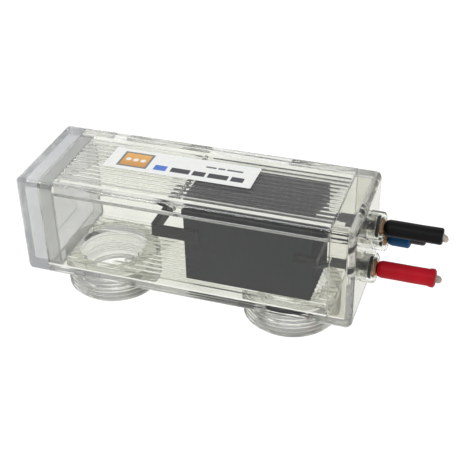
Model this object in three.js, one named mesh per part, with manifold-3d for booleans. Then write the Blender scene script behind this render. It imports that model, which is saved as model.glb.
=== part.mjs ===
// Salt chlorine generator cell: a clear rectangular flow chamber that stands on two threaded ports, with an electrode
// pack inside and three plug-on terminals on one end. Millimetres, +Z up, +X towards the terminals.
// Coordinates below are in the chamber's frame: x = 0 at the blind end, y = 0 at the front face, z = 0 at the chamber's
// underside. The outer group moves that frame so that the origin is the bottom centre of the whole object.
import * as THREE from "three";
import { mergeVertices } from "three/addons/utils/BufferGeometryUtils.js";
import Module from "manifold-3d";

// ---- driving dimensions ----
const LENGTH = 224.3; // chamber, end to end
const WIDTH = 77.2; // front to back
const HEIGHT = 71.1; // underside to top
const WALL = 4.0; // tube wall
const EDGE_R = 3.0; // long outer edges
const END_BEVEL = 4.0; // outer edges of the end caps
const END_WALL = 4.8; // end cap plate
const GAP = 0.3; // bonded or seated faces
const BLIND_JOINT = 16.4; // where the blind cap's skirt ends
const TERM_JOINT = 208.6; // where the terminal cap's skirt starts
const LIP_LENGTH = 8.2; // spigot lip of the blind cap, which enters the tube
const LIP_THICK = 2.9;
const RIB_PITCH = 4.6;
const RIB_WIDTH = 1.6;
const RIB_HEIGHT = 3.2;
const RIBS = 12; // on the ceiling and on the floor
const PORT_X = [47.3, 176.1]; // port centres
const PORT_DEPTH = 22.3; // below the underside
const PORT_BORE_R = 21.1;
const FLOOR_HOLE_R = 23.4; // through the tube's floor, and the port's counterbore below it
const COUNTERBORE = 5.0; // depth below the underside
const THREAD_R = 33.0; // coarse union thread, 66 mm over the crests
const THREAD_ROOT_R = 31.2;
const THREAD_PITCH = 3.15;
const THREAD_TURNS = 6;
const PLATE_X = [110.6, 194.8];
const PLATE_Z = [5.6, 65.5];
const PLATE_T = 1.0;
const PLATES = 10; // one channel of eleven stays free at the back
const STOP_X = [106.9, 108.7]; // bar in front of the plates
const MID_Y = WIDTH / 2;
const TERMINALS = {
  red: { y: MID_Y - 17.9, z: 35.2, bootEnd: 270.0, studEnd: 251.0, tailEnd: 273.8, tailR: 2.35, tilt: 0 },
  black: { y: MID_Y, z: 54.0, bootEnd: 270.0, studEnd: 251.0, tailEnd: 273.8, tailR: 2.35, tilt: 24 },
  blue: { y: MID_Y + 17.9, z: 35.2, bootEnd: 248.6, studEnd: 244.5, tailEnd: 258.2, tailR: 2.05, tilt: 0 },
};
const STUD_R = 3.0;
const STUD_FLANGE_R = 4.2;
const STUD_START = 206.0;
const BOSS_R = 6.9;
const BOSS_END = 229.2;
const GLAND_R = 9.5;
const GLAND_X = [224.7, 234.3];
const BOOT_R = 5.3;
const BOOT_START = 234.7;
const LABEL = { x: [48.4, 149.6], y: [31.0, 56.6], t: 0.25 };
const X_END = 273.8; // end of the plug tails, which is the end of the object

// ---- helpers ----
const wasm = await Module();
wasm.setup();

function toSolid(geometry) {
  const g = geometry.index ? geometry.toNonIndexed() : geometry.clone();
  g.deleteAttribute("normal");
  g.deleteAttribute("uv");
  const merged = mergeVertices(g, 1e-4);
  const src = merged.index.array;
  const tri = [];
  for (let i = 0; i < src.length; i += 3) {
    const [a, b, c] = [src[i], src[i + 1], src[i + 2]];
    if (a !== b && b !== c && a !== c) tri.push(a, b, c);
  }
  const vertProperties = new Float32Array(merged.attributes.position.array);
  let solid = new wasm.Manifold(
    new wasm.Mesh({ numProp: 3, vertProperties, triVerts: new Uint32Array(tri) }),
  );
  if (solid.volume() < 0) {
    for (let i = 0; i < tri.length; i += 3) [tri[i + 1], tri[i + 2]] = [tri[i + 2], tri[i + 1]];
    solid = new wasm.Manifold(
      new wasm.Mesh({ numProp: 3, vertProperties, triVerts: new Uint32Array(tri) }),
    );
  }
  return solid;
}

function toGeometry(solid) {
  const m = solid.getMesh();
  const n = m.numProp;
  const pos = new Float32Array(m.numVert * 3);
  for (let i = 0; i < m.numVert; i++) pos.set(m.vertProperties.subarray(i * n, i * n + 3), i * 3);
  const g = new THREE.BufferGeometry();
  g.setAttribute("position", new THREE.BufferAttribute(pos, 3));
  g.setIndex(new THREE.BufferAttribute(new Uint32Array(m.triVerts), 1));
  g.computeVertexNormals();
  return g;
}

// A box from its low and high corner.
function block(x0, x1, y0, y1, z0, z1) {
  const g = new THREE.BoxGeometry(x1 - x0, y1 - y0, z1 - z0);
  g.translate((x0 + x1) / 2, (y0 + y1) / 2, (z0 + z1) / 2);
  return toSolid(g);
}

// A profile of [radius, position] pairs turned about an axis through (y, z) along X.
function turnedX(profile, y, z, segments = 18) {
  const g = new THREE.LatheGeometry(profile.map(([r, p]) => new THREE.Vector2(r, p)), segments);
  g.rotateZ(-Math.PI / 2);
  g.translate(0, y, z);
  return toSolid(g);
}

// The same about an axis through (x, y) along Z.
function turnedZ(profile, x, y, segments = 40) {
  const g = new THREE.LatheGeometry(profile.map(([r, p]) => new THREE.Vector2(r, p)), segments);
  g.rotateX(Math.PI / 2);
  g.translate(x, y, 0);
  return toSolid(g);
}

// A closed ring section between two radii.
const ring = (r0, r1, p0, p1) => [[r0, p0], [r1, p0], [r1, p1], [r0, p1], [r0, p0]];
// A solid rod section.
const rod = (r, p0, p1) => [[0, p0], [r, p0], [r, p1], [0, p1]];

// A rounded rectangle in the Y-Z plane, as a shape whose x is world y and whose y is world z.
function roundedRect(y0, y1, z0, z1, r, steps = 4) {
  const s = new THREE.Shape();
  const corner = (cy, cz, from) => {
    for (let i = 0; i <= steps; i++) {
      const a = from + ((Math.PI / 2) * i) / steps;
      const py = cy + r * Math.cos(a), pz = cz + r * Math.sin(a);
      if (s.curves.length === 0 && s.currentPoint.x === 0 && s.currentPoint.y === 0) s.moveTo(py, pz);
      else s.lineTo(py, pz);
    }
  };
  corner(y1 - r, z1 - r, 0);
  corner(y0 + r, z1 - r, Math.PI / 2);
  corner(y0 + r, z0 + r, Math.PI);
  corner(y1 - r, z0 + r, 1.5 * Math.PI);
  s.closePath();
  return s;
}

const ALONG_X = new THREE.Matrix4().makeBasis(
  new THREE.Vector3(0, 1, 0),
  new THREE.Vector3(0, 0, 1),
  new THREE.Vector3(1, 0, 0),
);
// A Y-Z shape pushed along X from x0 to x1, with its end edges rounded by bevel.
function pushedX(shape, x0, x1, bevel = 0) {
  const g = new THREE.ExtrudeGeometry(shape, {
    depth: x1 - x0 - 2 * bevel,
    bevelEnabled: bevel > 0,
    bevelThickness: bevel,
    bevelSize: bevel,
    bevelOffset: -bevel,
    bevelSegments: 4,
    curveSegments: 4,
  });
  g.applyMatrix4(ALONG_X);
  g.translate(x0 + bevel, 0, 0);
  return toSolid(g);
}

// A plan shape in X-Y pushed up from z0 to z1.
function pushedZ(points, z0, z1) {
  const s = new THREE.Shape(points.map(([x, y]) => new THREE.Vector2(x, y)));
  const g = new THREE.ExtrudeGeometry(s, { depth: z1 - z0, bevelEnabled: false });
  g.translate(0, 0, z0);
  return toSolid(g);
}

// ---- materials ----
const std = (color, roughness, metalness, extra = {}) =>
  new THREE.MeshStandardMaterial({ color, roughness, metalness, ...extra });
const clear = () => std(0xdde0d6, 0.06, 0, { transparent: true, opacity: 0.35 });
const platinised = () => std(0x3c4244, 0.55, 0.5);
const titanium = () => std(0x5a5d5e, 0.4, 0.9);
const blackNylon = () => std(0x232628, 0.5, 0);
const brass = () => std(0xb08a5e, 0.3, 1);
const rubber = () => std(0x17180f, 0.7, 0);
const tinned = () => std(0xaaa196, 0.45, 0.8);

const part = new THREE.Group();
part.name = "salt_chlorine_generator";
const chamber = new THREE.Group();
chamber.position.set(-X_END / 2, -MID_Y, PORT_DEPTH);
part.add(chamber);

function put(name, solid, material, group = chamber) {
  const mesh = new THREE.Mesh(toGeometry(solid), material);
  mesh.name = name;
  group.add(mesh);
  return mesh;
}

// ---- the clear tube, extruded with guide ribs on its ceiling and floor ----
const ribY = Array.from({ length: RIBS }, (_, i) => MID_Y + (i - (RIBS - 1) / 2) * RIB_PITCH);
const tubeX = [BLIND_JOINT + GAP, TERM_JOINT - GAP];
const ribX = [BLIND_JOINT + LIP_LENGTH + 0.4, TERM_JOINT - 1.6];
let tube = pushedX(roundedRect(0, WIDTH, 0, HEIGHT, EDGE_R), ...tubeX);
tube = tube.subtract(
  pushedX(roundedRect(WALL, WIDTH - WALL, WALL, HEIGHT - WALL, 1.2, 2), tubeX[0] - 1, tubeX[1] + 1),
);
for (const y of ribY) {
  tube = tube.add(block(ribX[0], ribX[1], y - RIB_WIDTH / 2, y + RIB_WIDTH / 2, WALL - 0.5, WALL + RIB_HEIGHT));
  tube = tube.add(
    block(ribX[0], ribX[1], y - RIB_WIDTH / 2, y + RIB_WIDTH / 2, HEIGHT - WALL - RIB_HEIGHT, HEIGHT - WALL + 0.5),
  );
}
// a notch across the ceiling ribs for the stop bar
tube = tube.subtract(block(STOP_X[0] - 0.5, STOP_X[1] + 0.5, 10, WIDTH - 10, HEIGHT - WALL - RIB_HEIGHT - 1, HEIGHT - WALL));
for (const x of PORT_X)
  tube = tube.subtract(turnedZ(rod(FLOOR_HOLE_R, -1, WALL + RIB_HEIGHT + 1), x, MID_Y));
put("housing_tube", tube, clear());

// ---- end caps: box lids with a skirt; the blind one has a spigot lip in the tube, the other is butt-bonded ----
function lip(x0, x1) {
  const o = WALL + GAP, i = o + LIP_THICK;
  return pushedX(roundedRect(o, WIDTH - o, o, HEIGHT - o, 1.5, 2), x0, x1).subtract(
    pushedX(roundedRect(i, WIDTH - i, i, HEIGHT - i, 0.8, 2), x0 - 1, x1 + 1),
  );
}
const shell = (x0, x1) => pushedX(roundedRect(0, WIDTH, 0, HEIGHT, END_BEVEL + 0.6), x0, x1, END_BEVEL);
const skirtIn = WALL + GAP + LIP_THICK;
const cavity = (x0, x1, inset = skirtIn) =>
  pushedX(roundedRect(inset, WIDTH - inset, inset, HEIGHT - inset, 1.2, 2), x0, x1);

let blindCap = shell(0, 60).subtract(block(BLIND_JOINT, 61, -1, WIDTH + 1, -1, HEIGHT + 1));
blindCap = blindCap.add(lip(BLIND_JOINT - 0.5, BLIND_JOINT + LIP_LENGTH));
blindCap = blindCap.subtract(cavity(END_WALL, 61));
put("blind_end_cap", blindCap, clear());

let termCap = shell(LENGTH - 60, LENGTH).subtract(block(LENGTH - 61, TERM_JOINT, -1, WIDTH + 1, -1, HEIGHT + 1));
termCap = termCap.subtract(cavity(LENGTH - 61, LENGTH - END_WALL, WALL));
for (const t of Object.values(TERMINALS)) {
  termCap = termCap.add(turnedX(rod(BOSS_R, LENGTH - 1, BOSS_END), t.y, t.z));
  termCap = termCap.subtract(turnedX(rod(STUD_R + GAP, LENGTH - END_WALL - 1, BOSS_END + 1), t.y, t.z));
}
put("terminal_end_cap", termCap, clear());

// ---- the two threaded ports, bonded under the floor ----
function port(x) {
  const top = -3.2;
  const p = [
    [PORT_BORE_R, -PORT_DEPTH],
    [THREAD_ROOT_R - 0.1, -PORT_DEPTH],
  ];
  for (let i = 0; i < THREAD_TURNS; i++) {
    const z = top - (THREAD_TURNS - i) * THREAD_PITCH;
    p.push([THREAD_ROOT_R, z], [THREAD_R, z + THREAD_PITCH / 2]);
  }
  p.push([THREAD_ROOT_R, top], [THREAD_R, top + 0.9], [THREAD_R, -GAP], [FLOOR_HOLE_R, -GAP], [FLOOR_HOLE_R, 0.6 - COUNTERBORE]);
  p.push([PORT_BORE_R, -COUNTERBORE - 0.6], [PORT_BORE_R, -PORT_DEPTH]);
  return turnedZ(p, x, MID_Y, 40);
}
put("inlet_port", port(PORT_X[0]), clear());
put("outlet_port", port(PORT_X[1]), clear());

// ---- the bar set across the ceiling ribs, which keeps the plates from sliding forward ----
put(
  "plate_stop_bar",
  block(...STOP_X, 10.4, WIDTH - 10.4, HEIGHT - WALL - RIB_HEIGHT - 1.2, HEIGHT - WALL - GAP),
  clear(),
);

// ---- electrode plates, one in each channel between the ribs ----
const plateY = Array.from({ length: PLATES }, (_, i) => MID_Y + (i - 5) * RIB_PITCH);
plateY.forEach((y, i) => {
  put(
    "electrode_plate_" + String(i + 1).padStart(2, "0"),
    block(PLATE_X[0], PLATE_X[1], y - PLATE_T / 2, y + PLATE_T / 2, ...PLATE_Z),
    platinised(),
  );
});

// ---- the black clips that hold the pack together at mid-height ----
const face = PLATE_T / 2 + GAP; // from an outer plate's middle to a clip
const packY = [plateY[0] - face, plateY[PLATES - 1] + face];
const ARM = 2.2;
let loop = block(88.6, 121.4, packY[0] - ARM, packY[1] + ARM, 37.3, 45.7);
loop = loop.subtract(block(92.0, 130, packY[0], packY[1], 30, 50));
put("pack_retainer_loop", loop, blackNylon());
let clip = block(183.0, 198.2, packY[0] - 1.7, packY[1] + 1.7, 34.2, 40.8);
clip = clip.subtract(block(180, PLATE_X[1] + GAP, packY[0], packY[1], 30, 50));
clip = clip.subtract(block(180, 192.0, -1, WIDTH, 36.6, 38.4)); // two prongs on each face
put("pack_spacer_clip", clip, blackNylon());

// ---- terminals ----
const STRAP_T = 1.5;
function strapPlan(t, plate, side) {
  // From beside its plate to the stud's head, in plan.
  const y0 = plate + side * (PLATE_T / 2 + GAP);
  const y1 = y0 + side * STRAP_T;
  const a = t.y - STRAP_T / 2, b = t.y + STRAP_T / 2;
  const [lo, hi] = y0 < y1 ? [y0, y1] : [y1, y0];
  return [[183.0, lo], [199.4, lo], [204.0, a], [STUD_START - GAP, a], [STUD_START - GAP, b], [203.4, b], [198.8, hi], [183.0, hi]];
}
const straps = {
  red: ["anode_strap", plateY[0], 1, [31.2, 33.9]],
  blue: ["cathode_strap", plateY[PLATES - 1], -1, [31.2, 33.9]],
  black: ["centre_strap", plateY[5], 1, [51.4, 56.6]],
};
for (const [key, [name, y, side, zz]] of Object.entries(straps)) {
  const t = TERMINALS[key];
  put(name, pushedZ(strapPlan(t, y, side), zz[0], zz[1]), titanium());
}

for (const [key, t] of Object.entries(TERMINALS)) {
  const { y, z } = t;
  // Stud: a rod from inside the cap, with a flange that seals on the inside of the end plate, and a shank that leaves it.
  put(
    key + "_stud",
    turnedX(
      [
        [0, STUD_START], [STUD_R - 0.3, STUD_START], [STUD_R, STUD_START + 0.3], [STUD_R, 216.2],
        [STUD_FLANGE_R, 216.2], [STUD_FLANGE_R, 217.6], [STUD_R, 217.6], [STUD_R, t.studEnd - 1], [STUD_R - 1, t.studEnd], [0, t.studEnd],
      ],
      y, z, 18,
    ),
    titanium(),
  );
  put(key + "_inner_gasket", turnedX(ring(STUD_R + GAP, STUD_FLANGE_R + 0.2, 217.9, LENGTH - END_WALL - GAP), y, z, 18), rubber());
  put(key + "_seal_ring", turnedX(ring(STUD_R + GAP, BOSS_R, BOSS_END + GAP, 231.6), y, z, 18), rubber());
  put(key + "_ferrule", turnedX(ring(STUD_R + GAP, 5.7, 231.9, GLAND_X[1]), y, z, 18), brass());
  // Gland nut over the boss, with a hole in its end for the ferrule.
  put(
    key + "_gland_nut",
    turnedX(
      [
        [BOSS_R + GAP, GLAND_X[0]], [GLAND_R, GLAND_X[0]], [GLAND_R, GLAND_X[1] - 1.2], [GLAND_R - 1.2, GLAND_X[1]],
        [6.0, GLAND_X[1]], [6.0, 231.9], [BOSS_R + GAP, 231.9], [BOSS_R + GAP, GLAND_X[0]],
      ],
      y, z, 18,
    ),
    clear(),
  );
  // Boot: a moulded sleeve, open at the front, necked at the back round the tail.
  const e = t.bootEnd;
  const bump = key === "red" ? 0.45 : 0;
  const boot = turnedX(
    [
      [3.9, BOOT_START], [4.3, BOOT_START], [BOOT_R, BOOT_START + 2.4], [BOOT_R, e - 4.2], [BOOT_R + bump, e - 3.2],
      [BOOT_R + bump, e - 0.9], [BOOT_R - 0.8, e], [3.4, e], [3.4, e - 1.8], [3.9, e - 1.8], [3.9, BOOT_START],
    ],
    y, z, 18,
  );
  const colour = { red: 0xa8162c, black: 0x141414, blue: 0x1d5c88 }[key];
  put(key + "_boot", boot, std(colour, 0.5, 0));
  // Contact: a socket over the stud, with a rounded tail that leaves the boot.
  const body = turnedX(
    [
      [STUD_R + GAP, BOOT_START + 1], [3.6, BOOT_START + 1], [3.6, e - 2.1], [2.4, e - 2.1], [2.4, e - 1.2],
      [0, e - 1.2], [0, t.studEnd + 0.6], [STUD_R + GAP, t.studEnd + 0.6], [STUD_R + GAP, BOOT_START + 1],
    ],
    y, z, 18,
  );
  const r = t.tailR;
  const tailLength = t.tailEnd - e + (t.tilt ? 1.4 : 1.5);
  const g = new THREE.LatheGeometry(
    [[0, 0], [r, 0], [r, tailLength - r], [r * 0.87, tailLength - r / 2], [r * 0.5, tailLength - r * 0.134], [0, tailLength]].map(
      ([a, b]) => new THREE.Vector2(a, b),
    ),
    14,
  );
  g.rotateZ(-Math.PI / 2);
  g.translate(e - 1.5, 0, 0);
  if (t.tilt) {
    g.translate(-(e - 1.5), 0, 0);
    g.rotateY((t.tilt * Math.PI) / 180);
    g.translate(e - 1.5, 0, 0.3);
  }
  g.translate(0, y, z);
  put(key + "_contact", body.add(toSolid(g)), tinned());
}

// ---- the label on the top face ----
put(
  "rating_label",
  block(LABEL.x[0], LABEL.x[1], LABEL.y[0], LABEL.y[1], HEIGHT + 0.1, HEIGHT + 0.1 + LABEL.t),
  std(0xeef0ea, 0.35, 0),
);

export default part;
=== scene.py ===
import math

import bmesh
import bpy
import numpy as np
from mathutils import Matrix, Vector
from mathutils.geometry import tessellate_polygon


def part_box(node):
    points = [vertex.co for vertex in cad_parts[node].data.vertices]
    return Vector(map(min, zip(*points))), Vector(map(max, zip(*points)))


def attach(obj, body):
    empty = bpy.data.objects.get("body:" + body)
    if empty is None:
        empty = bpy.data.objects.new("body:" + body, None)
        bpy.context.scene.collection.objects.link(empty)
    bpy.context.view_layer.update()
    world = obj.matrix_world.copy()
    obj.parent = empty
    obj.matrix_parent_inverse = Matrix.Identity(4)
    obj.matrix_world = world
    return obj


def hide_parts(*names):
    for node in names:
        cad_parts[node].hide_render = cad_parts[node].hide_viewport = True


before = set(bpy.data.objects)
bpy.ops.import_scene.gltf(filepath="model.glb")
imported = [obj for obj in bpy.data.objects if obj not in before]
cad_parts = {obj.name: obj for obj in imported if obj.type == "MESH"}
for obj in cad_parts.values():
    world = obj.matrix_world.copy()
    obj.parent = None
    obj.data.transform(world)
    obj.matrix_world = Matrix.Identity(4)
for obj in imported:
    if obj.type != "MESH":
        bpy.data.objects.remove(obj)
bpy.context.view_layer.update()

# ------------------------------------------------------------------ frame
# Shapes below are written in millimetres in the chamber's own axes: x = 0 at the blind end, y = 0 at the front face,
# z = 0 at the chamber's underside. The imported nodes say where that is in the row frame.
_lo, _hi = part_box("blind_end_cap")
ORG = np.array(_lo)
MM = 0.001


def node_mm(name):
    lo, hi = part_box(name)
    return (np.array(lo) - ORG) / MM, (np.array(hi) - ORG) / MM


_t_lo, _t_hi = node_mm("terminal_end_cap")
TUBE_LO, TUBE_HI = node_mm("housing_tube")
W = float(TUBE_HI[1])
H = float(TUBE_HI[2])
MID = W / 2
WALL = 4.0
BLIND_HI = float(node_mm("blind_end_cap")[1][0])
TERM_LO = float(_t_lo[0])
BOSS_END = float(_t_hi[0])
L = BOSS_END - 4.9
LIP = 8.2
BLIND_JOINT = BLIND_HI - LIP
TERM_JOINT = TERM_LO
END_WALL = 4.8
LIP_OUT = WALL + 0.3
LIP_IN = LIP_OUT + 2.9
PITCH = 4.6
RIB_W = 1.6
RIB_H = 3.2
RIB_Y = [MID + (i - 5.5) * PITCH for i in range(12)]
RIB_X = (BLIND_HI + 0.4, TERM_JOINT - 1.6)
HOLE_R = 23.4
BORE_R = 21.1
CREST, ROOT, THREAD_PITCH = 33.0, 31.2, 3.15
EDGE_R = 2.6
CORNER_TOP = 6.0
BLOCK = 6.0
CORNER_BOT = 3.0
PORTS = {}
for _n in ("inlet_port", "outlet_port"):
    _a, _b = node_mm(_n)
    PORTS[_n] = (float((_a[0] + _b[0]) / 2), float((_a[1] + _b[1]) / 2), float(_a[2]), float(_b[2]))
TERMS = {}
for _k in ("red", "black", "blue"):
    _a, _b = node_mm(_k + "_gland_nut")
    _c, _d = node_mm(_k + "_boot")
    _e, _f = node_mm(_k + "_contact")
    _g, _h = node_mm(_k + "_stud")
    TERMS[_k] = dict(y=float((_a[1] + _b[1]) / 2), z=float((_a[2] + _b[2]) / 2), gx=(float(_a[0]), float(_b[0])),
                     boot=(float(_c[0]), float(_d[0])), tail=float(_f[0]), stud=(float(_g[0]), float(_h[0])))


# ------------------------------------------------------------------ geometry helpers
def rounded(points, radii, step=12.0, closed=True):
    """Points with each corner turned into an arc of its radius."""
    out = []
    n = len(points)
    for i in range(n):
        p1 = np.array(points[i], float)
        r = radii[i] if hasattr(radii, "__len__") else radii
        if not closed and i in (0, n - 1):
            out.append(p1)
            continue
        a = np.array(points[i - 1], float) - p1
        b = np.array(points[(i + 1) % n], float) - p1
        la, lb = np.linalg.norm(a), np.linalg.norm(b)
        a, b = a / la, b / lb
        ang = math.acos(max(-1, min(1, float(a @ b))))
        if r <= 0 or math.pi - ang < 1e-3:
            out.append(p1)
            continue
        t = min(r / math.tan(ang / 2), 0.48 * la, 0.48 * lb)
        r = t * math.tan(ang / 2)
        c = p1 + (a + b) / np.linalg.norm(a + b) * (r / math.sin(ang / 2))
        s, e = p1 + a * t - c, p1 + b * t - c
        a0, a1 = math.atan2(s[1], s[0]), math.atan2(e[1], e[0])
        d = (a1 - a0 + math.pi) % (2 * math.pi) - math.pi
        k = max(1, math.ceil(abs(math.degrees(d)) / step))
        for j in range(k + 1):
            out.append(c + r * np.array([math.cos(a0 + d * j / k), math.sin(a0 + d * j / k)]))
    return out


class Builder:
    """Collects vertices (mm, chamber axes) and faces."""

    def __init__(self):
        self.v, self.f = [], []

    def add(self, pts):
        s = len(self.v)
        self.v.extend([tuple(map(float, p)) for p in pts])
        return list(range(s, len(self.v)))

    def bridge(self, a, b):
        n = len(a)
        for i in range(n):
            j = (i + 1) % n
            self.f.append((a[i], a[j], b[j], b[i]))

    def cap(self, outer, holes=()):
        """A flat face over a loop, with loops cut out of it. Loops are lists of vertex numbers."""
        loops = [[Vector(self.v[i]) for i in lp] for lp in (outer, *holes)]
        flat = [i for lp in (outer, *holes) for i in lp]
        if not holes:
            self.f.append(tuple(outer))
            return
        for t in tessellate_polygon(loops):
            self.f.append(tuple(flat[i] for i in t))


def place(name, b, material, body, replaced=(), slot=None, sharp=34, weighted=True, bevel=None):
    me = bpy.data.meshes.new(name)
    co = ORG + np.array(b.v, float) * MM
    me.from_pydata([tuple(c) for c in co], [], b.f)
    bm = bmesh.new()
    bm.from_mesh(me)
    bmesh.ops.remove_doubles(bm, verts=bm.verts, dist=1e-7)
    bmesh.ops.dissolve_degenerate(bm, edges=bm.edges, dist=1e-8)
    bmesh.ops.recalc_face_normals(bm, faces=bm.faces)
    bm.to_mesh(me)
    bm.free()
    o = bpy.data.objects.new(name, me)
    bpy.context.scene.collection.objects.link(o)
    finish_piece(o, material, body, replaced, sharp, weighted, bevel)
    return o


def finish_piece(o, material, body, replaced=(), sharp=34, weighted=True, bevel=None):
    me = o.data
    for p in me.polygons:
        p.use_smooth = True
    me.set_sharp_from_angle(angle=math.radians(sharp))
    if bevel:
        m = o.modifiers.new("edge_round", "BEVEL")
        m.width = bevel[0] * MM
        m.segments = bevel[1]
        m.limit_method = "ANGLE"
        m.angle_limit = math.radians(40)
        m.harden_normals = False
        m.use_clamp_overlap = True
    if weighted:
        m = o.modifiers.new("flat_normals", "WEIGHTED_NORMAL")
        m.mode = "FACE_AREA"
        m.weight = 50
        m.keep_sharp = True
    me.materials.clear()
    me.materials.append(material)
    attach(o, body)
    if replaced:
        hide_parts(*replaced)


def lathe(b, prof, axis, centre, n=96, closed=True, squash=None):
    """Turns [(radius, position)] about an axis along X through (y, z), or along Z through (x, y).
    A closed profile is a ring; an open one starts and ends at radius 0."""
    rings = []
    for r, p in prof:
        if r < 1e-6:
            pts = [(0.0, 0.0)]
        else:
            pts = [(r * math.cos(2 * math.pi * i / n), r * math.sin(2 * math.pi * i / n)) for i in range(n)]
        if axis == "X":
            rings.append(b.add([(p, centre[0] + u, centre[1] + w) for u, w in pts]))
        else:
            rings.append(b.add([(centre[0] + u, centre[1] + w, p) for u, w in pts]))
    pairs = list(zip(rings, rings[1:])) + ([(rings[-1], rings[0])] if closed else [])
    for a, c in pairs:
        if len(a) == 1 and len(c) == 1:
            continue
        if len(a) == 1:
            for i in range(n):
                b.f.append((a[0], c[i], c[(i + 1) % n]))
        elif len(c) == 1:
            for i in range(n):
                b.f.append((a[i], c[0], a[(i + 1) % n]))
        else:
            b.bridge(a, c)
    return rings


def rect_loop(d, r, k=10, top=None):
    """The chamber's section inset by d, with corner radius r: (y, z) points, k + 1 at each corner."""
    rt = r if top is None else top
    out = []
    for cy, cz, rr, a0 in ((W - d, H - d, rt, 0), (d, H - d, rt, 90), (d, d, r, 180), (W - d, d, r, 270)):
        sy = -1 if cy > MID else 1
        sz = -1 if cz > H / 2 else 1
        c = (cy + sy * rr, cz + sz * rr)
        for i in range(k + 1):
            a = math.radians(a0 + 90 * i / k)
            out.append((c[0] + rr * math.cos(a), c[1] + rr * math.sin(a)))
    return out


def slab(b, x, y, z):
    """A plain box from its ranges."""
    q = [(x[i], y[j], z[k]) for i in (0, 1) for j in (0, 1) for k in (0, 1)]
    s = b.add(q)
    for f in ((0, 1, 3, 2), (4, 6, 7, 5), (0, 4, 5, 1), (2, 3, 7, 6), (0, 2, 6, 4), (1, 5, 7, 3)):
        b.f.append(tuple(s[i] for i in f))


def prism(b, loop, lo, hi, axis="Z"):
    """A plan loop pushed along an axis: Z takes (x, y), Y takes (x, z), X takes (y, z)."""
    def at(u, w, p):
        return {"Z": (u, w, p), "Y": (u, p, w), "X": (p, u, w)}[axis]
    lo_i = b.add([at(u, w, lo) for u, w in loop])
    hi_i = b.add([at(u, w, hi) for u, w in loop])
    b.bridge(lo_i, hi_i)
    b.f.append(tuple(reversed(lo_i)))
    b.f.append(tuple(hi_i))


# ------------------------------------------------------------------ materials
class Mat:
    def __init__(self, name):
        self.m = bpy.data.materials.new(name)
        self.m.use_nodes = True
        self.t = self.m.node_tree
        self.t.nodes.clear()
        self.out = self.n("ShaderNodeOutputMaterial")
        self.p = self.n("ShaderNodeBsdfPrincipled")
        self.link(self.p.outputs[0], self.out.inputs["Surface"])
        self.co = self.n("ShaderNodeTexCoord").outputs["Object"]

    def n(self, kind, **kw):
        node = self.t.nodes.new(kind)
        for k, v in kw.items():
            setattr(node, k, v)
        return node

    def link(self, a, b):
        self.t.links.new(a, b)

    def mapped(self, scale):
        m = self.n("ShaderNodeMapping")
        m.inputs["Scale"].default_value = scale
        self.link(self.co, m.inputs["Vector"])
        return m.outputs[0]

    def noise(self, scale, detail=3.0, rough=0.55, vec=None, distortion=0.0):
        t = self.n("ShaderNodeTexNoise")
        t.inputs["Scale"].default_value = scale
        t.inputs["Detail"].default_value = detail
        t.inputs["Roughness"].default_value = rough
        t.inputs["Distortion"].default_value = distortion
        self.link(vec if vec is not None else self.co, t.inputs["Vector"])
        return t.outputs["Fac"]

    def ramp(self, fac, stops):
        r = self.n("ShaderNodeValToRGB")
        e = r.color_ramp.elements
        while len(e) < len(stops):
            e.new(0.5)
        for el, (p, c) in zip(e, stops):
            el.position = p
            el.color = (c, c, c, 1) if not hasattr(c, "__len__") else (*c, 1)
        self.link(fac, r.inputs[0])
        return r.outputs[0]

    def map(self, fac, lo, hi, f0=0.0, f1=1.0):
        r = self.n("ShaderNodeMapRange")
        r.inputs["From Min"].default_value = f0
        r.inputs["From Max"].default_value = f1
        r.inputs["To Min"].default_value = lo
        r.inputs["To Max"].default_value = hi
        self.link(fac, r.inputs["Value"])
        return r.outputs[0]

    def mix(self, fac, a, b, mode="MIX"):
        m = self.n("ShaderNodeMix", data_type="RGBA", blend_type=mode)
        for sock, val in ((m.inputs[0], fac), (m.inputs[6], a), (m.inputs[7], b)):
            if hasattr(val, "is_output"):
                self.link(val, sock)
            elif hasattr(val, "__len__"):
                sock.default_value = (*val, 1) if len(val) == 3 else val
            else:
                sock.default_value = val
        return m.outputs[2]

    def math(self, op, a, b=None, clamp=False):
        m = self.n("ShaderNodeMath", operation=op, use_clamp=clamp)
        for sock, val in zip(m.inputs, (a, b)):
            if val is None:
                continue
            if hasattr(val, "is_output"):
                self.link(val, sock)
            else:
                sock.default_value = val
        return m.outputs[0]

    def edges(self, lo=0.52, hi=0.62):
        g = self.n("ShaderNodeNewGeometry")
        return self.map(g.outputs["Pointiness"], 0, 1, lo, hi)

    def bump(self, height, distance, strength=1.0, chain=None):
        b = self.n("ShaderNodeBump")
        b.inputs["Strength"].default_value = strength
        b.inputs["Distance"].default_value = distance
        self.link(height, b.inputs["Height"])
        if chain is not None:
            self.link(chain, b.inputs["Normal"])
        return b.outputs[0]

    def set(self, **kw):
        for k, v in kw.items():
            sock = self.p.inputs[k.replace("_", " ")]
            if hasattr(v, "is_output"):
                self.link(v, sock)
            elif hasattr(v, "__len__") and len(v) == 3 and sock.type == "RGBA":
                sock.default_value = (*v, 1)
            else:
                sock.default_value = v
        return self


def srgb(r, g, b):
    f = lambda c: (c / 255 / 12.92) if c / 255 <= 0.04045 else ((c / 255 + 0.055) / 1.055) ** 2.4
    return (f(r), f(g), f(b))


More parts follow.
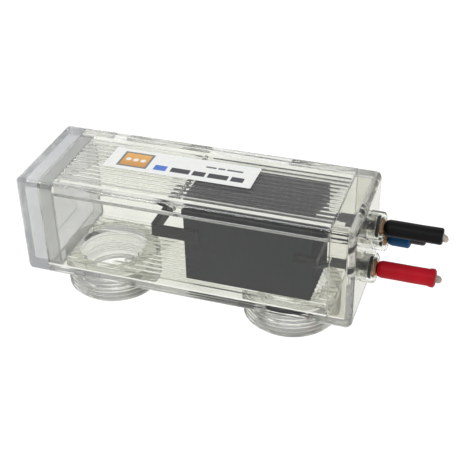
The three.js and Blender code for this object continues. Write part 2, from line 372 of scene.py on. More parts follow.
def clear_plastic(name, tint_a, tint_b, grain=(8, 500, 500), rough=(0.01, 0.04), haze=0.05, ior=1.49, wavy=0.000005, specular=0.5):
    m = Mat(name)
    cloud = m.noise(22, 3, 0.5)
    m.set(Base_Color=m.mix(m.map(cloud, 0, 1, 0.35, 0.7), tint_a, tint_b))
    lines = m.noise(1.0, 2, 0.5, vec=m.mapped(grain))
    smear = m.noise(60, 4, 0.6, distortion=0.4)
    m.set(Roughness=m.math("ADD", m.map(smear, rough[0], rough[1], 0.4, 0.75), m.map(lines, 0.0, 0.006, 0.5, 0.8)))
    wav = m.noise(38, 1, 0.4)
    m.set(Normal=m.bump(lines, 0.000004, 0.5, chain=m.bump(wav, wavy, 0.6)))
    m.set(Transmission_Weight=1.0 - haze, IOR=ior, Specular_IOR_Level=specular)
    return m.m


def coated():
    m = Mat("coated_titanium")
    mott = m.noise(260, 5, 0.62)
    streak = m.noise(1.0, 3, 0.55, vec=m.mapped((60, 60, 900)))
    base = m.mix(m.map(mott, 0, 1, 0.35, 0.68), srgb(14, 28, 29), srgb(27, 41, 42))
    base = m.mix(m.map(streak, 0, 0.35, 0.5, 0.75), base, srgb(38, 50, 50))
    base = m.mix(m.map(m.edges(0.53, 0.6), 0, 0.5), base, srgb(84, 88, 86))
    m.set(Base_Color=base, Metallic=0.15, Specular_IOR_Level=0.3, Roughness=m.map(mott, 0.5, 0.72, 0.3, 0.7))
    m.set(Normal=m.bump(mott, 0.00001, 0.5))
    return m.m


def moulded(name, dark, light, rough=(0.38, 0.6), grain=900, wear=(0.25, 0.25, 0.25), wear_amount=0.35, bump=0.00004):
    m = Mat(name)
    fine = m.noise(grain, 4, 0.6)
    big = m.noise(70, 3, 0.5)
    base = m.mix(m.map(big, 0, 1, 0.35, 0.7), dark, light)
    base = m.mix(m.map(fine, 0, 0.35, 0.45, 0.75), base, light)
    base = m.mix(m.map(m.edges(0.53, 0.62), 0, wear_amount), base, wear)
    m.set(Base_Color=base, Roughness=m.map(fine, rough[0], rough[1], 0.3, 0.7))
    m.set(Normal=m.bump(fine, bump, 0.6))
    return m


def metal(name, a, b, rough=(0.22, 0.42), grain=(1400, 90, 90), wear=None):
    m = Mat(name)
    brush = m.noise(1.0, 3, 0.6, vec=m.mapped(grain))
    blot = m.noise(240, 4, 0.6)
    base = m.mix(m.map(blot, 0, 1, 0.35, 0.7), a, b)
    if wear:
        base = m.mix(m.map(m.edges(0.52, 0.6), 0, 0.7), base, wear)
    m.set(Base_Color=base, Metallic=1.0, Roughness=m.map(brush, rough[0], rough[1], 0.3, 0.7))
    m.set(Normal=m.bump(brush, 0.00001, 0.5, chain=m.bump(blot, 0.00002, 0.4)))
    return m.m


CLEAR = clear_plastic("clear_acrylic_extruded", (0.875, 0.88, 0.84), (0.935, 0.94, 0.905), rough=(0.012, 0.03), haze=0.006, specular=0.25)
CLEAR_CAP = clear_plastic("clear_acrylic_moulded", (0.76, 0.76, 0.695), (0.825, 0.825, 0.765), grain=(60, 90, 90), rough=(0.02, 0.045), haze=0.035)
CLEAR_BLIND = clear_plastic("clear_acrylic_moulded_blind", (0.86, 0.87, 0.87), (0.915, 0.922, 0.925), grain=(60, 90, 90), rough=(0.09, 0.16), haze=0.2)
CLEAR_PORT = clear_plastic("clear_acrylic_threaded", (0.91, 0.915, 0.865), (0.96, 0.965, 0.925), grain=(60, 60, 400), rough=(0.03, 0.06), haze=0.12)
CLEAR_NUT = clear_plastic("clear_gland_plastic", (0.88, 0.89, 0.85), (0.93, 0.94, 0.91), grain=(90, 90, 90), rough=(0.01, 0.03), haze=0.03, ior=1.15)
CLEAR_BAR = clear_plastic("clear_acrylic_bonded_bar", (0.92, 0.93, 0.9), (0.96, 0.965, 0.945), grain=(60, 8, 400), rough=(0.12, 0.22), haze=0.5)
PLATE = coated()
NYLON = moulded("black_nylon", srgb(15, 18, 20), srgb(27, 31, 33), wear=srgb(58, 62, 64)).set(Specular_IOR_Level=0.3).m
TITANIUM = metal("titanium_mill", srgb(44, 49, 54), srgb(66, 71, 75), wear=srgb(104, 107, 108), rough=(0.32, 0.5))
RUBBER = moulded("seal_rubber", srgb(9, 10, 8), srgb(18, 19, 16), rough=(0.55, 0.8), wear=srgb(40, 40, 37), grain=1500).m
BRASS = metal("ferrule_brass", srgb(168, 124, 84), srgb(205, 168, 128), rough=(0.2, 0.38), wear=srgb(232, 206, 170))
RED = moulded("red_vinyl", srgb(166, 2, 24), srgb(188, 8, 38), rough=(0.45, 0.65), wear=srgb(206, 60, 80), grain=1100, wear_amount=0.2).set(Specular_IOR_Level=0.3).m
BLACK = moulded("black_vinyl", srgb(4, 4, 4), srgb(11, 10, 10), rough=(0.42, 0.62), wear=srgb(40, 39, 38), grain=1100, wear_amount=0.2).set(Specular_IOR_Level=0.3).m
BLUE = moulded("blue_vinyl", srgb(10, 76, 116), srgb(20, 92, 136), rough=(0.45, 0.62), wear=srgb(66, 124, 160), grain=1100, wear_amount=0.2).set(Specular_IOR_Level=0.3).m
TIN = moulded("tinned_end", srgb(160, 150, 138), srgb(188, 180, 170), rough=(0.3, 0.5), wear=srgb(214, 208, 200), grain=900)
TIN.set(Metallic=0.35)
TIN = TIN.m
GREY_PIN = moulded("grey_pin", srgb(66, 64, 66), srgb(88, 86, 88), rough=(0.35, 0.55), wear=srgb(130, 128, 128), grain=900)
GREY_PIN.set(Metallic=0.5)
GREY_PIN = GREY_PIN.m


# ------------------------------------------------------------------ clear tube
def build_tube():
    b = Builder()
    x0, x1 = float(TUBE_LO[0]), float(TUBE_HI[0])
    outer = rect_loop(0, EDGE_R, 8)
    pts, rad, tag = [], [], []

    def put(y, z, r, rib=None):
        pts.append((y, z)); rad.append(r); tag.append(rib)

    hw = RIB_W / 2
    zt = H - WALL
    put(WALL, WALL, CORNER_BOT)
    for i, y in enumerate(RIB_Y):
        put(y - hw, WALL, 0.3, i); put(y - hw, WALL + RIB_H, 0.3, i); put(y + hw, WALL + RIB_H, 0.3, i); put(y + hw, WALL, 0.3, i)
    put(W - WALL, WALL, CORNER_BOT)
    put(W - WALL, zt - BLOCK, 0, "back"); put(W - WALL - BLOCK, zt - BLOCK, 0.8, "back"); put(W - WALL - BLOCK, zt, 0, "back")
    for i, y in enumerate(reversed(RIB_Y)):
        k = 100 + i
        put(y + hw, zt, 0.3, k); put(y + hw, zt - RIB_H, 0.3, k); put(y - hw, zt - RIB_H, 0.3, k); put(y - hw, zt, 0.3, k)
    put(WALL + BLOCK, zt, 0, "front"); put(WALL + BLOCK, zt - BLOCK, 0.8, "front"); put(WALL, zt - BLOCK, 0, "front")
    # Rounded inner section, keeping which rib each point belongs to.
    loop, owner = [], []
    n = len(pts)
    full = rounded(pts, rad, step=15)
    # Recount how many points each corner gave.
    pos = 0
    for i in range(n):
        k = 1 if not rad[i] else len(rounded([pts[i - 1], pts[i], pts[(i + 1) % n]], [0, rad[i], 0], step=15, closed=False)) - 2
        for j in range(k):
            loop.append(full[pos + j]); owner.append(tag[i])
        pos += k
    assert pos == len(full)
    m = len(loop)
    # Outside the ribs' length the section is plain, and its top corners are arcs instead of the square corner blocks.
    arcs = {}
    for key, cy, a0 in (("back", W - WALL - BLOCK, 0), ("front", WALL + BLOCK, 90)):
        arcs[key] = [(cy + BLOCK * math.cos(math.radians(a0 + 90 * j / 8)), zt - BLOCK + BLOCK * math.sin(math.radians(a0 + 90 * j / 8)))
                     for j in range(1, 8)]
    plain = []
    for i in range(m):
        o = owner[i]
        if o is None or owner[i - 1] != o or owner[(i + 1) % m] != o:
            plain.append(i)
        if o in arcs and owner[i - 1] != o:
            plain.extend((o, j) for j in range(7))
    oa = b.add([(x0, y, z) for y, z in outer])
    ob = b.add([(x1, y, z) for y, z in outer])
    b.bridge(oa, ob)
    ra = b.add([(RIB_X[0], *loop[i]) for i in range(m)])
    rb = b.add([(RIB_X[1], *loop[i]) for i in range(m)])
    b.bridge(rb, ra)
    arc_a = {k: b.add([(RIB_X[0], *q) for q in v]) for k, v in arcs.items()}
    arc_b = {k: b.add([(RIB_X[1], *q) for q in v]) for k, v in arcs.items()}
    flat = [loop[i] if isinstance(i, int) else arcs[i[0]][i[1]] for i in plain]
    pa = b.add([(x0, *q) for q in flat])
    pb = b.add([(x1, *q) for q in flat])
    b.bridge([ra[i] if isinstance(i, int) else arc_a[i[0]][i[1]] for i in plain], pa)
    b.bridge(pb, [rb[i] if isinstance(i, int) else arc_b[i[0]][i[1]] for i in plain])
    for o in sorted({o for o in owner if o is not None}, key=str):
        ids = [i for i in range(m) if owner[i] == o]
        b.f.append(tuple([ra[i] for i in ids] + list(reversed(arc_a.get(o, [])))))
        b.f.append(tuple(reversed([rb[i] for i in ids] + list(reversed(arc_b.get(o, []))))))
    b.cap(oa, [pa])
    b.cap(ob, [pb])
    return b


def cutter(name, x, y, r, z0, z1, n=160):
    b = Builder()
    lathe(b, [(0, z0), (r, z0), (r, z1), (0, z1)], "Z", (x, y), n=n, closed=False)
    me = bpy.data.meshes.new(name)
    me.from_pydata([tuple(c) for c in ORG + np.array(b.v) * MM], [], b.f)
    bm = bmesh.new(); bm.from_mesh(me)
    bmesh.ops.recalc_face_normals(bm, faces=bm.faces)
    bm.to_mesh(me); bm.free()
    o = bpy.data.objects.new(name, me)
    bpy.context.scene.collection.objects.link(o)
    return o


def cut(o, tools, op="DIFFERENCE"):
    """Applies booleans to o and removes the tools."""
    for t in tools:
        m = o.modifiers.new("cut", "BOOLEAN")
        m.operation = op
        m.solver = "EXACT"
        m.object = t
    dg = bpy.context.evaluated_depsgraph_get()
    me = bpy.data.meshes.new_from_object(o.evaluated_get(dg))
    o.modifiers.clear()
    o.data = me
    for t in tools:
        d = t.data
        bpy.data.objects.remove(t)
        bpy.data.meshes.remove(d)


def raw(name, b):
    me = bpy.data.meshes.new(name)
    me.from_pydata([tuple(c) for c in ORG + np.array(b.v, float) * MM], [], b.f)
    bm = bmesh.new(); bm.from_mesh(me)
    bmesh.ops.remove_doubles(bm, verts=bm.verts, dist=1e-7)
    bmesh.ops.recalc_face_normals(bm, faces=bm.faces)
    bm.to_mesh(me); bm.free()
    o = bpy.data.objects.new(name, me)
    bpy.context.scene.collection.objects.link(o)
    return o


tube = raw("clear_ribbed_tube", build_tube())
BAR_LO, BAR_HI = node_mm("plate_stop_bar")
notch = Builder()
slab(notch, (BAR_LO[0] - 0.5, BAR_HI[0] + 0.5), (10.6, W - 10.6), (H - WALL - RIB_H - 1, H - WALL - 0.02))
cut(tube, [cutter("c1", p[0], p[1], HOLE_R, -1, WALL + RIB_H + 1) for p in PORTS.values()] + [raw("c2", notch)])
finish_piece(tube, CLEAR, "cell", ("housing_tube",), sharp=32)


# ------------------------------------------------------------------ end caps
def cap_shell(b, end, joint, tip, sign, holes=()):
    """An end cap. end is its outer face, joint the skirt's edge, tip the lip's edge, if it has one; sign is +1 when the cap opens
    towards +X. holes are (y, z, [(radius, x)]) turned passages from the outer face to the inner one."""
    R = 4.0
    k = 10

    def corner(d):
        if d < WALL:
            return max(EDGE_R + 0.3 - 0.62 * d, 0.5)
        return max(CORNER_BOT + 0.4 - (d - WALL) * 0.8, 0.8)

    def corner_top(d):
        if d < WALL:
            return corner(d)
        return max(CORNER_TOP + 0.1 - (d - WALL) * 0.9, 0.8)

    inner = end + sign * END_WALL
    path = [(0.0, R)]
    path = [(end + sign * (R - R * math.cos(math.radians(9 * i))), R - R * math.sin(math.radians(9 * i))) for i in range(11)]
    if tip is None:
        rest = rounded([(end + sign * R, 0.0), (joint, 0.0), (joint, WALL), (inner, WALL), (inner, WALL + 3.0)],
                       [0, 0.25, 0.25, 1.6, 0], step=18, closed=False)
    else:
        rest = rounded(
            [(end + sign * R, 0.0), (joint, 0.0), (joint, LIP_OUT), (tip, LIP_OUT), (tip, LIP_IN), (inner, LIP_IN), (inner, LIP_IN + 1.6)],
            [0, 0.25, 0.3, 0.6, 0.6, 1.0, 0], step=18, closed=False)
    chain = path[:-1] + [tuple(p) for p in rest]
    loops = []
    for x, d in chain:
        loops.append(b.add([(x, y, z) for y, z in rect_loop(d, corner(d), k, corner_top(d))]))
    for a, c in zip(loops, loops[1:]):
        b.bridge(a, c)
    outs, ins = [], []
    for y, z, prof in holes:
        rings = lathe(b, prof, "X", (y, z), n=64, closed=False)
        outs.append(rings[0])
        ins.append(rings[-1])
    b.cap(loops[0], outs)
    b.cap(loops[-1], ins)


b = Builder()
cap_shell(b, 0.0, BLIND_JOINT, BLIND_HI, 1)
place("clear_blind_cap", b, CLEAR_BLIND, "cell", ("blind_end_cap",), "clear_acrylic")


def boss_profile():
    f = 0.8
    p = [(6.9 + f, L)]
    for i in range(1, 6):
        a = math.radians(18 * i)
        p.append((6.9 + f - f * math.sin(a), L + f - f * math.cos(a)))
    thread = []
    pitch, depth = 1.0, 0.42
    x = L + 1.0
    while x + pitch < BOSS_END - 0.4:
        thread += [(6.9, x), (6.9 - depth, x + pitch * 0.42), (6.9 - depth, x + pitch * 0.58)]
        x += pitch
    p += thread
    p += [(6.9, x), (6.9, BOSS_END - 0.3), (6.6, BOSS_END), (3.6, BOSS_END), (3.3, BOSS_END - 0.3), (3.3, L - END_WALL)]
    return p


b = Builder()
cap_shell(b, L, TERM_JOINT, None, -1, [(t["y"], t["z"], boss_profile()) for t in TERMS.values()])
place("clear_terminal_cap", b, CLEAR_CAP, "cell", ("terminal_end_cap",), "clear_acrylic")


# ------------------------------------------------------------------ threaded ports
def helical(b, cx, cy, z_lo, z_hi, pitch, crest, root, n=144, m=12, limit=None):
    """The outside of a helical thread from z_lo to z_hi as a grid that follows the helix. Returns its end rings."""
    turns = int(math.ceil((z_hi - z_lo) / pitch)) + 1
    rows = m * (turns + 1)
    grid = []
    for k in range(rows + 1):
        f = (k % m) / m
        # a round-topped moulded thread
        r = root + (crest - root) * (0.5 + 0.5 * math.cos(2 * math.pi * f)) ** 0.8
        ring = []
        for i in range(n):
            z = z_lo - pitch + k * pitch / m + pitch * i / n
            zz = min(max(z, z_lo), z_hi)
            rr = min(r, limit(zz)) if limit else r
            if z <= z_lo or z >= z_hi:
                rr = limit(zz) if limit else root
            a = 2 * math.pi * i / n
            ring.append((cx + rr * math.cos(a), cy + rr * math.sin(a), zz))
        grid.append(b.add(ring))
    for k in range(rows):
        for i in range(n):
            j = i + 1
            if j < n:
                b.f.append((grid[k][i], grid[k][j], grid[k + 1][j], grid[k + 1][i]))
            else:
                if k + 1 + m <= rows:
                    b.f.append((grid[k][i], grid[k + m][0], grid[k + 1 + m][0], grid[k + 1][i]))
    return grid


def build_port(name, node):
    cx, cy, z0, z1 = PORTS[node]
    b = Builder()
    n, m = 144, 12
    crest, root, pitch = CREST, ROOT, THREAD_PITCH
    z_lo, z_hi = z0 + 0.05, -3.2

    def limit(z):
        low = root - 0.2 + (z - z_lo) * 1.1
        high = root - 0.1 + max(0.0, (z_hi - 0.4 - z)) * 1.3
        return max(min(low, high, crest), root - 0.15)

    helical(b, cx, cy, z_lo, z_hi, pitch, crest, root, n=n, m=m, limit=limit)

    def ring(r, z):
        return b.add([(cx + r * math.cos(2 * math.pi * i / n), cy + r * math.sin(2 * math.pi * i / n), z) for i in range(n)])

    top_chain = [(limit(z_hi), z_hi)] + [tuple(p) for p in rounded(
        [(root - 0.1, z_hi), (crest, z_hi + 0.9), (crest, z1), (HOLE_R, z1), (HOLE_R, -4.4), (BORE_R, -5.6), (BORE_R, z0), (limit(z_lo), z0)],
        [0, 0.4, 0.25, 0.25, 0.6, 0.6, 0.5, 0], step=20, closed=False)][1:] + [(limit(z_lo), z_lo)]
    rings = [ring(r, z) for r, z in top_chain]
    for a, c in zip(rings, rings[1:]):
        b.bridge(a, c)
    return place(name, b, CLEAR_PORT, "cell", (node,), "clear_acrylic", sharp=30)


build_port("clear_inlet_spigot", "inlet_port")
build_port("clear_outlet_spigot", "outlet_port")

# ------------------------------------------------------------------ stop bar, plates, clips
lo, hi = BAR_LO, BAR_HI
b = Builder()
prism(b, rounded([(lo[0], lo[2]), (hi[0], lo[2]), (hi[0], hi[2]), (lo[0], hi[2])], 0.45, step=20), lo[1], hi[1], "Y")
place("clear_stop_bar", b, CLEAR_BAR, "cell", ("plate_stop_bar",), "clear_acrylic", bevel=(0.3, 2))

for i in range(1, 11):
    node = "electrode_plate_%02d" % i
    lo, hi = node_mm(node)
    b = Builder()
    loop = rounded([(lo[0], lo[2]), (hi[0], lo[2]), (hi[0], hi[2]), (lo[0], hi[2])], 1.5, step=18)
    prism(b, loop, lo[1], hi[1], "Y")
    place("coated_plate_%02d" % i, b, PLATE, "cell", (node,), "coated_plate", bevel=(0.18, 2))

lo, hi = node_mm("pack_retainer_loop")
b = Builder()
t_arm, t_web = 2.2, 3.4
outer = rounded([(hi[0], lo[1]), (hi[0], lo[1] + t_arm), (lo[0] + t_web, lo[1] + t_arm), (lo[0] + t_web, hi[1] - t_arm), (hi[0], hi[1] - t_arm),
                 (hi[0], hi[1]), (lo[0], hi[1]), (lo[0], lo[1])], [0.6, 0.6, 1.0, 1.0, 0.6, 0.6, 2.4, 2.4], step=15)
prism(b, outer, lo[2], hi[2], "Z")
place("black_retainer_loop", b, NYLON, "cell", ("pack_retainer_loop",), "black_nylon", bevel=(0.4, 3))

lo, hi = node_mm("pack_spacer_clip")
b = Builder()
plate_end = float(node_mm("electrode_plate_01")[1][0]) + 0.3
outer = [(lo[0], lo[1]), (hi[0], lo[1]), (hi[0], hi[1]), (lo[0], hi[1]), (lo[0], hi[1] - 1.7), (plate_end, hi[1] - 1.7), (plate_end, lo[1] + 1.7), (lo[0], lo[1] + 1.7)]
prism(b, rounded(outer, [0.5, 0.9, 0.9, 0.5, 0.4, 0.4, 0.4, 0.4], step=22), lo[2], hi[2], "Z")
clip = raw("black_spacer_clip", b)
t1 = Builder(); slab(t1, (lo[0] - 5, 192.0), (lo[1] - 5, hi[1] + 5), (36.6, 38.4))
cut(clip, [raw("c1", t1)])
finish_piece(clip, NYLON, "cell", ("pack_spacer_clip",), bevel=(0.3, 2))

# ------------------------------------------------------------------ straps and studs
STRAP = {"anode_strap": "red", "centre_strap": "black", "cathode_strap": "blue"}
for node, key in STRAP.items():
    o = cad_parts[node]
    me = o.data.copy()
    piece = bpy.data.objects.new("titanium_" + node, me)
    bpy.context.scene.collection.objects.link(piece)
    bm = bmesh.new(); bm.from_mesh(me)
    bmesh.ops.remove_doubles(bm, verts=bm.verts, dist=1e-6)
    bmesh.ops.dissolve_limit(bm, angle_limit=math.radians(1), verts=bm.verts, edges=bm.edges)
    bm.to_mesh(me); bm.free()
    finish_piece(piece, TITANIUM, "cell", (node,), bevel=(0.25, 2))


def turned(name, prof, y, z, material, body, node, slot, n=72, closed=False, step=20, radii=0.25, sharp=34, **kw):
    b = Builder()
    lathe(b, [tuple(p) for p in rounded(prof, radii, step=step, closed=closed)], "X", (y, z), n=n, closed=closed)
    return place(name, b, material, body, (node,), slot, sharp=sharp, **kw)


for key, t in TERMS.items():
    y, z = t["y"], t["z"]
    s0, s1 = t["stud"]
    prof = [(0, s0), (3.0, s0), (3.0, s0 + 10.2), (4.2, s0 + 10.2), (4.2, s0 + 11.6), (3.0, s0 + 11.6)]
    rad = [0, 0.5, 0.2, 0.3, 0.3, 0.2]
    # plain shank through the seal, then a fine thread to the end
    x = 232.4
    prof.append((3.0, x)); rad.append(0)
    while x + 0.8 < s1 - 0.9:
        prof += [(2.66, x + 0.4), (3.0, x + 0.8)]; rad += [0, 0]
        x += 0.8
    prof += [(3.0, s1 - 0.8), (2.1, s1), (0, s1)]; rad += [0, 0, 0]
    turned(key + "_terminal_stud", prof, y, z, TITANIUM, "cell", key + "_stud", "titanium", radii=rad, n=64)
    lo, hi = node_mm(key + "_inner_gasket")
    turned(key + "_washer_inside", [(3.3, lo[0]), (4.4, lo[0]), (4.4, hi[0]), (3.3, hi[0])], y, z, RUBBER, "cell", key + "_inner_gasket",
           "seal_rubber", closed=True, radii=0.4)
    lo, hi = node_mm(key + "_seal_ring")
    turned(key + "_seal_outside", [(3.3, lo[0]), (6.9, lo[0]), (6.9, hi[0]), (3.3, hi[0])], y, z, RUBBER, "cell", key + "_seal_ring",
           "seal_rubber", closed=True, radii=[0.3, 0.8, 0.8, 0.3], step=12)
    lo, hi = node_mm(key + "_ferrule")
    turned(key + "_ferrule_ring", [(3.3, lo[0]), (5.7, lo[0]), (5.7, lo[0] + 0.9), (5.35, lo[0] + 1.15), (5.7, lo[0] + 1.4), (5.7, hi[0]), (3.3, hi[0])],
           y, z, BRASS, "cell", key + "_ferrule", "ferrule_brass", closed=True, radii=[0.2, 0.25, 0.1, 0.1, 0.1, 0.35, 0.2])
    # gland nut
    g0, g1 = t["gx"]
    prof = [(7.2, g0), (9.3, g0), (9.5, g0 + 1.0), (9.5, g1 - 1.3), (8.3, g1), (6.0, g1), (6.0, 231.9), (7.2, 231.9)]
    turned(key + "_clear_nut", prof, y, z, CLEAR_NUT, key + "_gland", key + "_gland_nut", "clear_gland", closed=True,
           radii=[0.25, 0.5, 0.4, 0.8, 0.6, 0.3, 0.2, 0.3], n=96, step=12)

# ------------------------------------------------------------------ boots and contacts
rng = np.random.default_rng(7)


def boot(key, material):
    t = TERMS[key]
    y, z = t["y"], t["z"]
    x0, e = t["boot"]
    R = 5.3
    n = 96
    out = []
    rows = 60
    prof = []
    bump = 0.45 if key == "red" else 0.0
    pts = [(3.9, x0), (4.3, x0), (R, x0 + 2.4), (R, e - 4.2), (R + bump, e - 3.0), (R + bump, e - 0.9), (R - 0.8 - (0.6 if key == "blue" else 0), e),
           (3.4, e), (3.4, e - 1.8), (3.9, e - 1.8)]
    rad = [0.15, 0.3, 1.4, 2.0, 1.0, 0.8, 0.5, 0.25, 0.2, 0.3]
    chain = [tuple(p) for p in rounded(pts, rad, step=15, closed=True)]
    # split the long straight sides so that the sleeve can sag and swell a little
    fine = []
    for (r0, p0), (r1, p1) in zip(chain, chain[1:] + chain[:1]):
        k = max(1, int(abs(p1 - p0) / 0.9))
        for j in range(k):
            fine.append((r0 + (r1 - r0) * j / k, p0 + (p1 - p0) * j / k))
    b = Builder()
    ph = rng.uniform(0, 6.28, 6)
    rings = []
    for r, p in fine:
        ring = []
        u = (p - x0) / (e - x0)
        for i in range(n):
            a = 2 * math.pi * i / n
            rr = r
            if r > 4.0:  # outer skin only: soft swelling and a faint mould line
                w = math.sin(math.pi * min(max(u, 0), 1))
                rr += w * (0.05 * math.sin(2 * a + ph[0] + 3 * u) + 0.035 * math.sin(9 * u + ph[1]) * math.cos(a + ph[2]) - 0.06)
                rr += 0.05 * math.exp(-((math.degrees(a) % 180 - 90) / 2.2) ** 2) * w
            ring.append((p, y + rr * math.cos(a), z + rr * math.sin(a)))
        rings.append(b.add(ring))
    for a, c in zip(rings, rings[1:] + rings[:1]):
        b.bridge(a, c)
    return place(key + "_vinyl_boot", b, material, key + "_plug", (key + "_boot",), key + "_boot", sharp=40)


for key, m in (("red", RED), ("black", BLACK), ("blue", BLUE)):
    boot(key, m)


def sweep(b, centres, radii, n=32):
    """A round bar along a line of centres."""
    rings = []
    up = Vector((0, 1, 0))
    c = [Vector(q) for q in centres]
    for i, q in enumerate(c):
        d = (c[min(i + 1, len(c) - 1)] - c[max(i - 1, 0)]).normalized()
        s = d.cross(up).normalized()
        w = s.cross(d).normalized()
        rings.append(b.add([tuple(q + (s * math.cos(2 * math.pi * k / n) + w * math.sin(2 * math.pi * k / n)) * radii[i]) for k in range(n)]))
    for a, e in zip(rings, rings[1:]):
        b.bridge(a, e)
    return rings


def contact(key, material):
    t = TERMS[key]
    y, z = t["y"], t["z"]
    x0, e = t["boot"]
    s1 = t["stud"][1]
    r = {"red": 2.35, "black": 2.35, "blue": 2.05}[key]
    b = Builder()
    # socket
    inner = [(0.0, s1 + 0.6), (3.3, s1 + 0.6), (3.3, x0 + 1.0), (3.6, x0 + 1.0), (3.6, e - 2.1), (r, e - 2.1)]
    chain = [tuple(p) for p in rounded(inner, [0, 0.2, 0.05, 0.1, 0.3, 0], step=20, closed=False)]
    n = 48
    rings = lathe(b, chain, "X", (y, z), n=n, closed=False)
    # tail, bent down on the black plug
    drop = {"red": 0.35, "black": 1.0, "blue": 0.0}[key]
    end = t["tail"] - 0.02
    steps = 14
    cs, rs = [], []
    for i in range(steps + 1):
        u = i / steps
        x = (e - 2.1) + (end - r - (e - 2.1)) * u
        cs.append((x, y, z - drop * u * u * 1.0))
        rs.append(r)
    last = cs[-1]
    slope = math.atan2(2 * drop, end - r - e + 2.1)
    tail = []
    for (x, yy, zz), rr in zip(cs[1:], rs[1:]):
        tail.append((x, zz, rr))
    prev = rings[-1]
    for x, zz, rr in tail:
        ring = b.add([(x, y + rr * math.cos(2 * math.pi * i / n), zz + rr * math.sin(2 * math.pi * i / n)) for i in range(n)])
        b.bridge(prev, ring)
        prev = ring
    for j in range(1, 8):
        a = math.radians(90 * j / 8)
        rr, dx = r * math.cos(a), r * math.sin(a)
        ring = b.add([(last[0] + dx, y + rr * math.cos(2 * math.pi * i / n), last[2] - dx * math.tan(slope) * 0.5 + rr * math.sin(2 * math.pi * i / n))
                      for i in range(n)])
        b.bridge(prev, ring)
        prev = ring
    tip = b.add([(last[0] + r, y, last[2] - r * math.tan(slope) * 0.5)])[0]
    for i in range(n):
        b.f.append((prev[i], tip, prev[(i + 1) % n]))
    return place(key + "_tinned_contact", b, material, key + "_plug", (key + "_contact",), "tinned_contact", sharp=40)


contact("red", TIN)
contact("black", TIN)
contact("blue", GREY_PIN)

# ------------------------------------------------------------------ label
lo, hi = node_mm("rating_label")
LX, LY, LZ = (float(lo[0]), float(hi[0])), (float(lo[1]), float(hi[1])), (float(lo[2]), float(hi[2]))


def label_material():
    m = Mat("printed_film")
    sep = m.n("ShaderNodeSeparateXYZ")
    m.link(m.co, sep.inputs[0])
    # u runs along the label, v from its front edge to its back edge, in millimetres
    u = m.math("MULTIPLY", m.math("SUBTRACT", sep.outputs[0], float(ORG[0]) + LX[0] * MM), 1000.0)
    v = m.math("MULTIPLY", m.math("SUBTRACT", sep.outputs[1], float(ORG[1]) + LY[0] * MM), 1000.0)

    def box(u0, u1, v0, v1):
        a = m.math("MULTIPLY", m.math("GREATER_THAN", u, u0), m.math("LESS_THAN", u, u1))
        c = m.math("MULTIPLY", m.math("GREATER_THAN", v, v0), m.math("LESS_THAN", v, v1))
        return m.math("MULTIPLY", a, c)

    def disc(cu, cv, r):
        du, dv = m.math("SUBTRACT", u, cu), m.math("SUBTRACT", v, cv)
        q = m.math("ADD", m.math("MULTIPLY", du, du), m.math("MULTIPLY", dv, dv))
        return m.math("LESS_THAN", q, r * r)

    paper = m.mix(m.map(m.noise(900, 4, 0.6), 0, 1, 0.35, 0.7), srgb(238, 239, 234), srgb(247, 248, 244))
    col = paper
    amber = m.mix(m.map(v, 0, 1, 4, 22), srgb(206, 146, 62), srgb(238, 184, 92))
    col = m.mix(box(8.0, 29.0, 3.6, 22.0), col, srgb(128, 124, 122))
    col = m.mix(box(9.6, 27.4, 5.2, 20.4), col, amber)
    for k in range(3):
        col = m.mix(disc(13.4 + 5.1 * k, 12.8, 1.9), col, srgb(243, 240, 230))
    col = m.mix(box(33.5, 42.0, 4.6, 10.8), col, srgb(62, 120, 205))
    for k, (a, c) in enumerate(((45.0, 58.0), (60.0, 68.5), (70.5, 84.0), (86.0, 94.5))):
        col = m.mix(box(a, c, 5.0, 10.4), col, srgb(38, 42, 50))
    for k, (a, c) in enumerate(((66.0, 73.0), (74.2, 79.0), (80.2, 91.0))):
        col = m.mix(box(a, c, 16.6, 18.4), col, srgb(96, 98, 104))
    m.set(Base_Color=col, Roughness=m.map(m.noise(400, 3, 0.5), 0.28, 0.42, 0.3, 0.7), Coat_Weight=0.25)
    m.set(Normal=m.bump(m.noise(120, 2, 0.5), 0.00004, 0.4))
    return m.m


b = Builder()
loop = rounded([(LX[0], LY[0]), (LX[1], LY[0]), (LX[1], LY[1]), (LX[0], LY[1])], 1.2, step=15)
prism(b, loop, LZ[0], LZ[1], "Z")
place("printed_label_film", b, label_material(), "cell", ("rating_label",), "label_film", bevel=(0.05, 1), weighted=True)

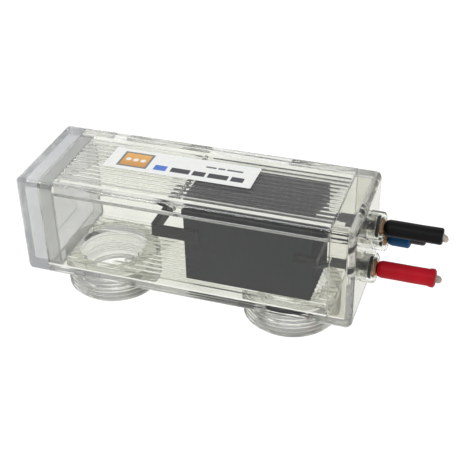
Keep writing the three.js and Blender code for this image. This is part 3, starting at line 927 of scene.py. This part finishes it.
# ------------------------------------------------------------------ stage, light, camera
fl = bpy.data.meshes.new("studio_floor")
s = 4.0
fl.from_pydata([(-s, -s, -0.0004), (s, -s, -0.0004), (s, s, -0.0004), (-s, s, -0.0004)], [], [(0, 1, 2, 3)])
floor = bpy.data.objects.new("studio_floor", fl)
bpy.context.scene.collection.objects.link(floor)
fm = bpy.data.materials.new("studio_floor_white")
fm.use_nodes = True
fp = fm.node_tree.nodes["Principled BSDF"]
fp.inputs["Base Color"].default_value = (0.1, 0.1, 0.1, 1)
fp.inputs["Roughness"].default_value = 0.9
fp.inputs["Specular IOR Level"].default_value = 0.0
fp.inputs["Emission Color"].default_value = (1, 1, 0.995, 1)
fp.inputs["Emission Strength"].default_value = 1.0
fl.materials.append(fm)

world = bpy.data.worlds.new("studio")
bpy.context.scene.world = world
world.use_nodes = True
bg = world.node_tree.nodes["Background"]
bg.inputs[0].default_value = (0.95, 0.96, 1.0, 1)
bg.inputs[1].default_value = 0.56


def softbox(name, at, target, size, power, color=(1, 1, 1)):
    d = bpy.data.lights.new(name, "AREA")
    d.shape = "RECTANGLE"
    d.size, d.size_y = size
    d.energy = power
    d.color = color
    o = bpy.data.objects.new(name, d)
    o.location = at
    o.rotation_euler = (Vector(target) - Vector(at)).to_track_quat("-Z", "Y").to_euler()
    bpy.context.scene.collection.objects.link(o)
    o.visible_transmission = False  # no image of a lamp inside the clear walls
    return o


softbox("key_strip", (-0.42, -0.84, 1.22), (0, 0, 0.05), (1.7, 0.12), 8, (1.0, 0.99, 0.97))
softbox("fill_right", (1.5, -0.7, 0.9), (0, 0, 0.05), (1.3, 1.3), 5, (0.97, 0.985, 1.0))
softbox("back_sheet", (-0.5, 1.6, 1.2), (0, 0, 0.05), (2.6, 1.4), 10)

cam_data = bpy.data.cameras.new("camera")
cam = bpy.data.objects.new("camera", cam_data)
bpy.context.scene.collection.objects.link(cam)
right = Vector((0.94621182, 0.32272675, -0.02303565))
up = Vector((-0.162361, 0.535201, 0.828975))
back = Vector((0.27986095, -0.78064538, 0.55881181))
m = Matrix((right, up, back)).transposed().to_4x4()
m.translation = Vector([float(c) for c in ORG + np.array((316.424, -478.709, 401.295)) * MM])
cam.matrix_world = m
cam_data.lens = 77.175
cam_data.sensor_width = 36.0
cam_data.shift_x = 0.016666
cam_data.shift_y = -0.008415
cam_data.clip_start = 0.01
cam_data.clip_end = 20
bpy.context.scene.camera = cam
bpy.context.scene.view_settings.view_transform = "Standard"
bpy.context.scene.view_settings.gamma = 0.86
# Clear walls stand behind clear walls here: paths cut short inside them would come out as black edges.
bpy.context.scene.cycles.max_bounces = 40
bpy.context.scene.cycles.glossy_bounces = 32
bpy.context.scene.cycles.transmission_bounces = 32
